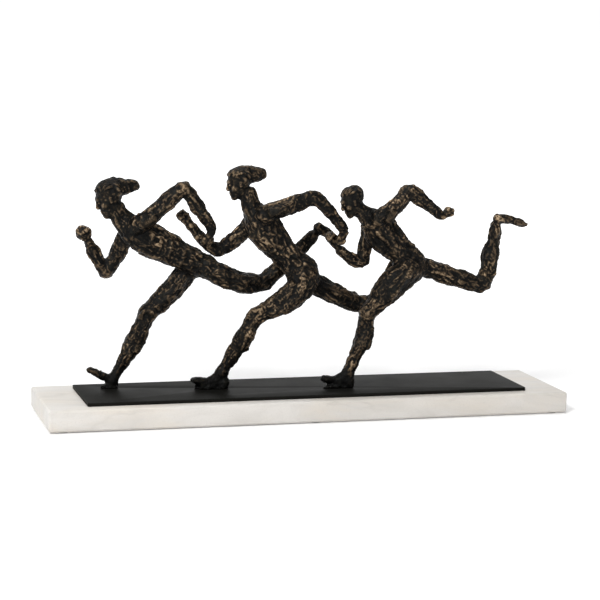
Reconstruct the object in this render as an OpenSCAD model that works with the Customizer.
// Figure trophy: three running figures, cast in metal, on a black steel plate
// and a marble base. Millimetres, +Z up, origin at the centre of the underside
// of the feet pads. The figures run towards -X; their near side faces -Y.

/* [Marble base] */
// Length of the marble base along X
slab_l = 635; // [600:5:760]
// Depth of the marble base along Y
slab_w = 152; // [140:1:200]
// Thickness of the marble base
slab_h = 25; // [20:1:40]
// Width of the eased edges of the marble
arris = 2; // [0.5:0.5:5]
// Diameter of the felt pads
pad_d = 22; // [14:1:30]
// Thickness of the felt pads
pad_h = 1.5; // [1:0.5:4]
// Distance from the pads' edges to the sides of the marble
pad_inset = 6; // [3:1:12]

/* [Steel plate] */
// Length of the plate along X
plate_l = 540; // [500:5:590]
// Depth of the plate along Y
plate_w = 115; // [108:1:135]
// Thickness of the plate
plate_t = 4; // [3:0.5:8]
// Radius of the plate's corners
plate_r = 2; // [1:0.5:10]

/* [Plate fixings] */
// Distance between the two pairs of studs along X
stud_span_x = 340; // [300:5:380]
// Distance between the studs of a pair along Y
stud_span_y = 72; // [60:1:84]
// Diameter of the studs
stud_d = 6; // [4:1:8]
// Clearance round a stud in the marble
stud_clear = 0.5; // [0.3:0.1:1]
// Diameter of the pockets under the marble
pocket_d = 20; // [18:1:26]
// Depth of the pockets under the marble
pocket_h = 12; // [10:1:14]
// Outer diameter of the washers
washer_d = 16; // [14:1:18]
// Thickness of the washers
washer_t = 1.6; // [1:0.2:2]
// Width of the nuts across their flats
nut_af = 10; // [9:0.5:13]
// Thickness of the nuts
nut_t = 5; // [3:0.5:6.5]

/* [Figure fixings] */
// Diameter of the screws from the plate into the feet
screw_d = 4; // [3:0.5:5]
// Diameter of the countersunk heads of those screws
screw_head_d = 7.5; // [6:0.5:9]
// Depth of the screws inside the feet
screw_reach = 12; // [8:1:16]
// Clearance round a screw
screw_clear = 0.2; // [0.1:0.1:0.4]
// Diameter of the dowel pins in the shoulders and hips
dowel_d = 4; // [3:0.5:5]
// Depth of a dowel pin in each of the two castings
dowel_reach = 6; // [4:0.5:8]
// Clearance round a dowel pin
dowel_clear = 0.1; // [0.05:0.05:0.3]

/* [Figures] */
// Distance of the leader's heel from the middle of the base along X
leader_x = -226; // [-236:1:-216]
// Distance of the leader's body from the middle of the base along Y
leader_y = 30; // [26:1:36]
// Distance of the middle runner's heel from the middle of the base along X
middle_x = -97; // [-99:1:-95]
// Distance of the middle runner's body from the middle of the base along Y
middle_y = 4; // [2:1:6]
// Distance of the last runner's heel from the middle of the base along X
last_x = 53; // [51:1:55]
// Distance of the last runner's body from the middle of the base along Y
last_y = -17; // [-22:1:-15]
// Thickness of the limbs and bodies, as a share of the modelled one
girth = 1; // [0.85:0.05:1]
// Distance of a shoulder seam from the middle of the body
shoulder_seam = 12; // [10:1:13]

/* [Hidden] */
$fn = 48;

// Heights of the stack: underside and top of the marble, top of the plate
slab_z = pad_h;
plate_z = slab_z + slab_h;
floor_z = plate_z + plate_t;

// Sides of a cast limb, and rings between two of its stations
ring_sides = 10;
ring_steps = 2;
// Rounding of a limb's ends: how far along and how thick each closing ring is
dome = [[0.95, 0.3], [0.6, 0.8]];
dome_reach = 0.8;

// Half width and length of the cut that ends a casting at its seam
seam_r = 30;
seam_l = 45;
// Gap between the inner side of a thigh and the other half of the body
crotch_gap = 0.2;
// Overrun of a cut past the face that it opens
eps = 0.01;

bronze = [0.16, 0.14, 0.12];
black_steel = [0.12, 0.12, 0.12];
marble = [0.88, 0.86, 0.83];
zinc = [0.66, 0.67, 0.68];
felt = [0.2, 0.2, 0.2];

// A station of a limb is [x, y, z, half thickness, half width], measured from
// the point on the plate under the figure's standing heel. The half width is
// the one across the running direction.

leader_body = [
    [[114, 0, 144, 14, 13], [101, 0, 149, 15.5, 15], [83, 0, 159, 15, 13], [64, 0, 169, 17.5, 14],
     [44, 0, 179, 19.5, 16], [28, 0, 188, 17, 16], [18, 0, 197, 13.5, 12], [7, 0, 206, 10, 9], [0, 0, 217, 10.5, 10]],
    [[0, 0, 212, 8.5, 9], [-3, 0, 222, 14.5, 12], [-4, 0, 233, 17.5, 14], [-3, 0, 241, 15.5, 12]],
    [[-2, 0, 242, 10.5, 11], [9, 0, 241, 9.5, 9], [20, 0, 241, 7.5, 7], [28, 0, 241, 4.5, 5]]
];
leader_near_arm_bones = [
    [[26, -15, 197, 11, 9], [44, -22, 212, 10.5, 9], [60, -25, 226, 10, 8], [77, -26, 238, 9, 7]],
    [[80, -26, 239, 9, 7], [94, -24, 225, 8.5, 7], [107, -21, 207, 7, 6], [116, -18, 191, 5.5, 5], [110, -16, 178, 7, 6]]
];
leader_far_arm_bones = [
    [[20, 15, 185, 11, 8], [11, 22, 166, 9, 8], [4, 24, 152, 8.5, 7], [-3, 24, 140, 8, 7]],
    [[-4, 24, 140, 8, 7], [-14, 23, 156, 7.5, 6], [-23, 21, 173, 6.5, 5.5], [-31, 20, 187, 9.5, 8]]
];
leader_near_leg_bones = [
    [[112, -10, 144, 12, 12], [130, -11, 135, 14, 12], [153, -10, 127, 12.5, 11], [181, -7, 124, 10.5, 9]],
    [[184, -7, 124, 10.5, 9], [202, -3, 138, 9.5, 8.5], [220, -1, 154, 9.5, 8], [235, 0, 168, 7.5, 7], [246, 0, 179, 7.5, 6], [252, 0, 186, 6.5, 6]],
    [[252, 0, 187, 6, 7], [264, 0, 178, 6, 7], [273, 0, 170, 5, 6]]
];
leader_far_leg_bones = [
    [[97, 10, 144, 12, 12], [83, 10, 129, 14.5, 13], [66, 8, 110, 14, 12], [45, 6, 91, 11.5, 10]],
    [[42, 6, 90, 11, 10], [35, 5, 71, 9.5, 9], [26, 4, 53, 10, 9], [19, 2, 36, 8.5, 7], [8, 1, 20, 6.5, 5.5], [1, 1, 6.5, 7.5, 6.5]],
    [[-1, 1, 6, 6.5, 7], [-11, 1, 13, 5, 7], [-21, 1, 19, 5, 7], [-27, 1, 24, 3.5, 5]]
];
middle_body = [
    [[99, 0, 128, 15.5, 13], [96, 0, 142, 20, 15], [79, 0, 158, 16, 12], [64, 0, 174, 17.5, 13],
     [51, 0, 187, 20.5, 16], [42, 0, 200, 16.5, 16], [34, 0, 214, 11.5, 11], [27, 0, 226, 10, 9]],
    [[27, 0, 226, 9, 9], [21, 0, 236, 14, 12], [17, 0, 247, 16.5, 13], [18, 0, 257, 14, 11]],
    [[18, 0, 257, 10, 11], [30, 0, 256, 10, 9], [40, 0, 256, 9, 8], [47, 0, 258, 5.5, 5]]
];
middle_near_arm_bones = [
    [[43, -15, 211, 10.5, 9], [62, -22, 218, 9, 8], [80, -25, 225, 8.5, 7.5], [98, -27, 231, 8.5, 7]],
    [[101, -27, 232, 8.5, 7], [115, -26, 222, 7.5, 6.5], [130, -23, 207, 6.5, 5.5], [141, -21, 193, 5.5, 5], [142, -19, 182, 6, 5]]
];
middle_far_arm_bones = [
    [[38, 15, 200, 10, 9], [25, 23, 186, 9, 8], [14, 25, 176, 8, 7.5], [-1, 24, 166, 7.5, 7]],
    [[-2, 24, 166, 7.5, 7], [-19, 23, 177, 6.5, 6.5], [-36, 21, 195, 5.5, 5.5], [-48, 20, 208, 7.5, 7]]
];
middle_near_leg_bones = [
    [[100, -9, 137, 15.5, 12], [92, -10, 123, 17, 14], [76, -10, 107, 15, 13], [58, -8, 96, 11.5, 11], [43, -5, 88.5, 9.5, 10]],
    [[41, -5, 86, 10, 9], [30, -3, 69, 9.5, 9], [21, -1, 53, 10, 9], [11, 0, 37, 8.5, 7], [-1, 0, 20, 6.5, 5.5], [-1, 0, 5, 7, 6.5]],
    [[1, 0, 5, 6, 7], [-13, 1, 4, 5, 7], [-26, 1, 5, 4.5, 7], [-36, 1, 9, 3, 5]]
];
middle_far_leg_bones = [
    [[110, 12, 128, 11, 11], [126, 13, 119, 11.5, 10], [147, 13, 109, 11.5, 10], [169, 13, 100, 10.5, 9.5], [190, 11, 97, 10, 9]],
    [[191, 11, 97, 10, 9], [203, 11, 115, 10, 8.5], [217, 11, 138, 9, 8], [231, 10, 158, 7.5, 6.5], [236, 10, 165, 6.5, 6]],
    [[237, 10, 168, 5.5, 6], [246, 10, 159, 5.5, 6], [256, 10, 150, 4.5, 6]]
];
last_body = [
    [[78, 0, 137, 16, 13], [76, 0, 150, 20, 15], [65, 0, 163, 17, 13], [53, 0, 175, 18.5, 15],
     [41, 0, 187, 21, 17], [32, 0, 199, 17, 16], [23, 0, 208, 12, 11], [14, 0, 217, 10, 8.5]],
    [[13, 0, 217, 8.5, 8], [6, 0, 223, 13, 11], [0, 0, 229, 15.5, 12.5], [0, 0, 233, 14.5, 12]]
];
last_near_arm_bones = [
    [[31, -15, 208, 10.5, 9], [42, -22, 220, 9.5, 8.5], [53, -25, 231, 9, 8], [64, -26, 241, 8.5, 7.5]],
    [[66, -26, 240, 8.5, 7], [79, -26, 230, 8.5, 6.5], [92, -26, 220, 6.5, 5.5], [105, -26, 210, 5, 4.5]],
    [[104, -26, 210, 5, 4.5], [110, -26, 213, 5.5, 5], [117, -26, 219, 5, 5]]
];
last_far_arm_bones = [
    [[29, 15, 194, 10.5, 9], [27, 20, 177, 9, 8], [25, 21, 162, 8.5, 7], [23, 20, 151, 7.5, 6.5]],
    [[21, 20, 150, 7.5, 6.5], [10, 19, 152, 6.5, 6], [-7, 16, 165, 6, 5.5], [-21, 14, 183, 8, 6.5]]
];
last_near_leg_bones = [
    [[72, -10, 146, 15.5, 12], [60, -11, 133, 15.5, 14], [45, -9, 118, 14.5, 13], [35, -6, 105, 12, 11], [24, -3, 92, 9.5, 10]],
    [[23, -3, 91, 9.5, 9], [22, -1, 71, 8.5, 9], [18, 0, 53, 9.5, 9], [11, 0, 37, 8, 7], [4, 0, 20, 6.5, 5.5], [0, 0, 4, 7.5, 6.5]],
    [[1, 0, 5, 6, 7], [-11, 0, 4, 5, 7], [-21, 0, 5, 4.5, 7], [-30, 0, 10, 3, 5]]
];
last_far_leg_bones = [
    [[88, 11, 147, 12, 11], [104, 12, 142, 11.5, 10.5], [126, 12, 135, 11.5, 10], [149, 11, 128, 11, 10], [174, 10, 122, 10.5, 9]],
    [[178, 10, 123, 10, 9], [184, 9, 142, 10, 9], [186, 9, 159, 10, 9], [189, 8, 177, 7.5, 7], [192, 8, 194, 7.5, 6]],
    [[193, 8, 202, 6, 6], [206, 8, 201, 5.5, 7], [216, 8, 199, 4.5, 7], [224, 8, 195, 3.5, 5]]
];

// Seams of a figure: centre of the joint in x and z, and for a hip the
// direction in which the thigh leaves it. The near side is at -y.
leader_shoulders = [[29, 200], [20, 184]];
leader_hips = [[[112, 144], [1, -0.35]], [[96, 142], [-0.6, -0.8]]];
middle_shoulders = [[46, 212], [38, 198]];
middle_hips = [[[97, 131], [-0.5, -0.87]], [[108, 130], [0.87, -0.5]]];
last_shoulders = [[34, 209], [29, 192]];
last_hips = [[[70, 142], [-0.5, -0.87]], [[87, 147], [1, -0.25]]];

// Directions of the two sides of a figure
near = -1;
far = 1;
// Distance of a dowel from the middle of the body: in a hip
hip_dowel_y = 8;

figures = [
    [leader_x, leader_y, leader_shoulders, leader_hips],
    [middle_x, middle_y, middle_shoulders, middle_hips],
    [last_x, last_y, last_shoulders, last_hips]
];

studs = [for (sx = [-1, 1]) for (sy = [-1, 1]) [sx * stud_span_x / 2, sy * stud_span_y / 2]];
pad_x = slab_l / 2 - pad_inset - pad_d / 2;
pad_y = slab_w / 2 - pad_inset - pad_d / 2;
pads = [for (sx = [-1, 0, 1]) for (sy = [-1, 1]) [sx * pad_x, sy * pad_y]];

// ---- Helpers -------------------------------------------------------------

function unit(v) = v / norm(v);

// Point between b and c on the smooth curve through a, b, c and d
function on_curve(a, b, c, d, t) =
    0.5 * (2 * b + (c - a) * t + (2 * a - 5 * b + 4 * c - d) * t * t
        + (3 * b - a - 3 * c + d) * t * t * t);

// The stations with smooth ones between them
function eased(s) = [
    for (i = [0 : len(s) - 2])
        for (k = [0 : ring_steps - 1])
            on_curve(s[max(i - 1, 0)], s[i], s[i + 1], s[min(i + 2, len(s) - 1)], k / ring_steps),
    s[len(s) - 1]
];

function centre(s) = [s[0], s[1], s[2]];

// One ring of a limb round the station s, square to the direction t
function ring(s, t, slip, shrink) =
    let (side = unit([0, 1, 0] - t * t[1]), up = cross(t, side), mid = centre(s) + t * slip)
    [for (k = [0 : ring_sides - 1])
        mid + side * (s[4] * girth * shrink * cos(k * 360 / ring_sides))
            + up * (s[3] * girth * shrink * sin(k * 360 / ring_sides))];

function direction(s, i) =
    unit(centre(s[min(i + 1, len(s) - 1)]) - centre(s[max(i - 1, 0)]));

// All rings of a limb: a rounded start, the stations and a rounded end
function rings(s) = let (last = len(s) - 1, t0 = direction(s, 0), t1 = direction(s, last)) [
    for (d = dome) ring(s[0], t0, -d[0] * dome_reach * s[0][3] * girth, d[1]),
    for (i = [0 : last]) ring(s[i], direction(s, i), 0, 1),
    for (k = [len(dome) - 1 : -1 : 0])
        ring(s[last], t1, dome[k][0] * dome_reach * s[last][3] * girth, dome[k][1])
];

// A rounded limb swept through its stations
module bone(stations) {
    r = rings(eased(stations));
    n = ring_sides;
    points = [for (one = r) for (p = one) p];
    walls = [
        for (i = [0 : len(r) - 2])
            for (k = [0 : n - 1])
                each [
                    [i * n + k, (i + 1) * n + k, (i + 1) * n + (k + 1) % n],
                    [i * n + k, (i + 1) * n + (k + 1) % n, i * n + (k + 1) % n]
                ]
    ];
    start = [[for (k = [0 : n - 1]) k]];
    finish = [[for (k = [n - 1 : -1 : 0]) (len(r) - 1) * n + k]];
    polyhedron(points, concat(walls, start, finish), convexity = 4);
}

// Several bones in one casting
module casting(bones) {
    resize([0, 0, 0])
        union() {
            for (b = bones) {
                bone(b);
            }
        }
}

// Puts a figure on the plate
module stand(x, y) {
    translate([x, y, floor_z])
        children();
}

// Turns +Z to a direction in the running plane
module aim(dir) {
    rotate([0, atan2(dir[0], dir[1]), 0])
        children();
}

// Block outside a shoulder seam (side = near or far); reach < 0 puts it inside
module shoulder_block(at, side, outside) {
    y0 = outside ? shoulder_seam : shoulder_seam - seam_r;
    y_mid = side * (y0 + seam_r / 2);
    translate([at[0], y_mid, at[1]])
        cube([seam_l, seam_r, seam_l], center = true);
}

// Block beyond a hip seam, on one side of the body
module hip_block(hip, side) {
    translate([hip[0][0], side * (seam_r / 2 - crotch_gap), hip[0][1]])
        aim(hip[1])
            translate([0, 0, seam_l / 2])
                cube([2 * seam_r, seam_r, seam_l], center = true);
}

// What a leg leaves to the body: behind its seam, and past the middle plane
module hip_keep_out(hip, side) {
    translate([hip[0][0], 0, hip[0][1]])
        aim(hip[1]) {
            translate([0, 0, -seam_l / 2])
                cube([2 * seam_r, 2 * seam_r, seam_l], center = true);
            translate([0, -side * seam_r / 2, seam_l / 2 - eps])
                cube([2 * seam_r, seam_r, seam_l], center = true);
        }
}

module dowel(extra) {
    cylinder(d = dowel_d + 2 * extra, h = 2 * dowel_reach, center = true);
}

module arm_dowel(at, side, extra) {
    translate([at[0], side * shoulder_seam, at[1]])
        rotate([90, 0, 0])
            dowel(extra);
}

module leg_dowel(hip, side, extra) {
    translate([hip[0][0], side * hip_dowel_y, hip[0][1]])
        aim(hip[1])
            dowel(extra);
}

// ---- Castings ------------------------------------------------------------

module torso(bones, shoulders, hips) {
    difference() {
        casting(bones);
        for (i = [0, 1]) {
            side = i == 0 ? near : far;
            shoulder_block(shoulders[i], side, true);
            hip_block(hips[i], side);
            arm_dowel(shoulders[i], side, dowel_clear);
            leg_dowel(hips[i], side, dowel_clear);
        }
    }
}

module arm(bones, shoulder, side) {
    difference() {
        casting(bones);
        shoulder_block(shoulder, side, false);
        arm_dowel(shoulder, side, dowel_clear);
    }
}

module leg(bones, hip, side) {
    difference() {
        casting(bones);
        hip_keep_out(hip, side);
        leg_dowel(hip, side, dowel_clear);
    }
}

// A leg that stands on the plate: its sole is flat and takes a screw
module standing_leg(bones, hip, side) {
    difference() {
        leg(bones, hip, side);
        translate([0, 0, -seam_r / 2])
            cube([4 * seam_r, 2 * seam_r, seam_r], center = true);
        translate([0, 0, -eps])
            cylinder(d = screw_d + 2 * screw_clear, h = screw_reach + eps);
    }
}

module leader_torso() {
    color(bronze)
        stand(leader_x, leader_y)
            torso(leader_body, leader_shoulders, leader_hips);
}

module leader_near_arm() {
    color(bronze)
        stand(leader_x, leader_y)
            arm(leader_near_arm_bones, leader_shoulders[0], near);
}

module leader_far_arm() {
    color(bronze)
        stand(leader_x, leader_y)
            arm(leader_far_arm_bones, leader_shoulders[1], far);
}

module leader_near_leg() {
    color(bronze)
        stand(leader_x, leader_y)
            leg(leader_near_leg_bones, leader_hips[0], near);
}

module leader_far_leg() {
    color(bronze)
        stand(leader_x, leader_y)
            standing_leg(leader_far_leg_bones, leader_hips[1], far);
}

module middle_torso() {
    color(bronze)
        stand(middle_x, middle_y)
            torso(middle_body, middle_shoulders, middle_hips);
}

module middle_near_arm() {
    color(bronze)
        stand(middle_x, middle_y)
            arm(middle_near_arm_bones, middle_shoulders[0], near);
}

module middle_far_arm() {
    color(bronze)
        stand(middle_x, middle_y)
            arm(middle_far_arm_bones, middle_shoulders[1], far);
}

module middle_near_leg() {
    color(bronze)
        stand(middle_x, middle_y)
            standing_leg(middle_near_leg_bones, middle_hips[0], near);
}

module middle_far_leg() {
    color(bronze)
        stand(middle_x, middle_y)
            leg(middle_far_leg_bones, middle_hips[1], far);
}

module last_torso() {
    color(bronze)
        stand(last_x, last_y)
            torso(last_body, last_shoulders, last_hips);
}

module last_near_arm() {
    color(bronze)
        stand(last_x, last_y)
            arm(last_near_arm_bones, last_shoulders[0], near);
}

module last_far_arm() {
    color(bronze)
        stand(last_x, last_y)
            arm(last_far_arm_bones, last_shoulders[1], far);
}

module last_near_leg() {
    color(bronze)
        stand(last_x, last_y)
            standing_leg(last_near_leg_bones, last_hips[0], near);
}

module last_far_leg() {
    color(bronze)
        stand(last_x, last_y)
            leg(last_far_leg_bones, last_hips[1], far);
}

// ---- Base ----------------------------------------------------------------

// Marble block with eased edges, holes for the studs and pockets below
module marble_base() {
    color(marble)
        translate([0, 0, slab_z])
            difference() {
                hull() {
                    translate([-slab_l / 2 + arris, -slab_w / 2 + arris, 0])
                        cube([slab_l - 2 * arris, slab_w - 2 * arris, slab_h]);
                    translate([-slab_l / 2, -slab_w / 2 + arris, arris])
                        cube([slab_l, slab_w - 2 * arris, slab_h - 2 * arris]);
                    translate([-slab_l / 2 + arris, -slab_w / 2, arris])
                        cube([slab_l - 2 * arris, slab_w, slab_h - 2 * arris]);
                }
                for (s = studs) {
                    translate([s[0], s[1], -1]) {
                        cylinder(d = stud_d + 2 * stud_clear, h = slab_h + 2);
                        cylinder(d = pocket_d, h = pocket_h + 1);
                    }
                }
            }
}

module felt_pads() {
    color(felt)
        for (p = pads) {
            translate([p[0], p[1], 0])
                cylinder(d = pad_d, h = pad_h);
        }
}

// Plate with rounded corners and countersinks below for the foot screws
module steel_plate() {
    color(black_steel)
        translate([0, 0, plate_z])
            difference() {
                linear_extrude(height = plate_t)
                    union() {
                        square([plate_l - 2 * plate_r, plate_w], center = true);
                        square([plate_l, plate_w - 2 * plate_r], center = true);
                        for (sx = [-1, 1]) {
                            for (sy = [-1, 1]) {
                                translate([sx * (plate_l / 2 - plate_r), sy * (plate_w / 2 - plate_r)])
                                    circle(r = plate_r);
                            }
                        }
                    }
                for (f = figures) {
                    translate([f[0], f[1], 0])
                        screw_shape(screw_clear, 1);
                }
            }
}

// Countersunk screw, head down, its head's face at z = 0
module screw_shape(extra, overrun) {
    head_h = (screw_head_d - screw_d) / 2;
    rotate_extrude()
        polygon([
            [0, -overrun * eps],
            [screw_head_d / 2 + extra, -overrun * eps],
            [screw_head_d / 2 + extra, 0],
            [screw_d / 2 + extra, head_h],
            [screw_d / 2 + extra, plate_t + (overrun > 0 ? overrun : screw_reach)],
            [0, plate_t + (overrun > 0 ? overrun : screw_reach)]
        ]);
}

module foot_screws() {
    color(zinc)
        for (f = figures) {
            translate([f[0], f[1], plate_z])
                screw_shape(0, 0);
        }
}

stud_l = slab_h - pocket_h + washer_t + nut_t + 2;

module plate_studs() {
    color(zinc)
        for (s = studs) {
            translate([s[0], s[1], plate_z - stud_l])
                cylinder(d = stud_d, h = stud_l);
        }
}

module plate_washers() {
    color(zinc)
        for (s = studs) {
            translate([s[0], s[1], slab_z + pocket_h - washer_t])
                difference() {
                    cylinder(d = washer_d, h = washer_t);
                    translate([0, 0, -1])
                        cylinder(d = stud_d + 2 * dowel_clear, h = washer_t + 2);
                }
        }
}

module plate_nuts() {
    color(zinc)
        for (s = studs) {
            translate([s[0], s[1], slab_z + pocket_h - washer_t - nut_t])
                difference() {
                    cylinder(d = nut_af / cos(30), h = nut_t, $fn = 6);
                    translate([0, 0, -1])
                        cylinder(d = stud_d + 2 * dowel_clear, h = nut_t + 2);
                }
        }
}

// ---- Dowels --------------------------------------------------------------

module arm_dowels() {
    color(zinc)
        for (f = figures) {
            stand(f[0], f[1]) {
                arm_dowel(f[2][0], near, 0);
                arm_dowel(f[2][1], far, 0);
            }
        }
}

module leg_dowels() {
    color(zinc)
        for (f = figures) {
            stand(f[0], f[1]) {
                leg_dowel(f[3][0], near, 0);
                leg_dowel(f[3][1], far, 0);
            }
        }
}

marble_base();
felt_pads();
steel_plate();
plate_studs();
plate_washers();
plate_nuts();
foot_screws();
arm_dowels();
leg_dowels();
leader_torso();
leader_near_arm();
leader_far_arm();
leader_near_leg();
leader_far_leg();
middle_torso();
middle_near_arm();
middle_far_arm();
middle_near_leg();
middle_far_leg();
last_torso();
last_near_arm();
last_far_arm();
last_near_leg();
last_far_leg();
